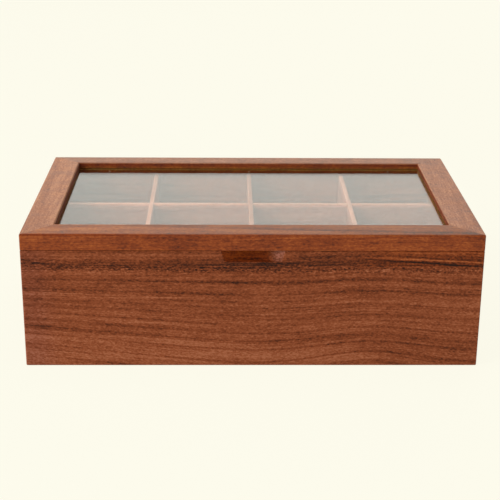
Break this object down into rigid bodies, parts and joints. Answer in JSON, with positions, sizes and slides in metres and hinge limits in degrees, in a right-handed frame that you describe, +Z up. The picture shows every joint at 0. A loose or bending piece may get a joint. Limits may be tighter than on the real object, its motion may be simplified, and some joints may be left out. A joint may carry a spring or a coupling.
{
  "type": "tea bag organizer box",
  "caption": "Low hardwood box with a hinged glazed lid, a finger scoop in the front and crossed dividers that part the inside into compartments for wrapped tea bags.",
  "frame": {"origin": "middle of the box's footprint, on the surface it stands on", "axes": "+X along the length to the right seen from the front, +Y to the back where the hinges are, +Z up; the finger scoop faces -Y"},
  "size_m": [0.315, 0.189, 0.097],
  "materials": {
    "body_wood": "satin lacquered reddish-brown hardwood, straight fine grain",
    "lid_wood": "satin lacquered reddish-brown hardwood",
    "bead_wood": "satin lacquered reddish-brown hardwood",
    "divider_wood": "plain sanded hardwood, paler than the carcass",
    "base_panel_wood": "plain sanded hardwood panel",
    "clear_glass": "clear float glass",
    "hinge_brass": "satin brass",
    "screw_brass": "satin brass",
    "brad_steel": "bright steel"
  },
  "bodies": {
    "box": {"front_board": "body_wood", "back_board": "body_wood", "left_board": "body_wood", "right_board": "body_wood", "base_panel": "base_panel_wood", "long_divider": "divider_wood", "cross_divider_1": "divider_wood", "cross_divider_2": "divider_wood", "cross_divider_3": "divider_wood", "hinge_left_box_leaf": "hinge_brass", "hinge_left_pin": "hinge_brass", "hinge_right_box_leaf": "hinge_brass", "hinge_right_pin": "hinge_brass", "hinge_box_screws": "screw_brass"},
    "lid": {"lid_front_rail": "lid_wood", "lid_back_rail": "lid_wood", "lid_left_stile": "lid_wood", "lid_right_stile": "lid_wood", "glass_pane": "clear_glass", "glass_bead_front": "bead_wood", "glass_bead_back": "bead_wood", "glass_bead_left": "bead_wood", "glass_bead_right": "bead_wood", "bead_brads": "brad_steel", "hinge_left_lid_leaf": "hinge_brass", "hinge_right_lid_leaf": "hinge_brass", "hinge_lid_screws": "screw_brass"}
  },
  "joints": [
    {"name": "lid_hinge", "type": "hinge", "parent": "box", "child": "lid", "pos_m": [0, 0.0915, 0.08545], "axis": [-1, 0, 0], "range_deg": [0, 100]}
  ]
}
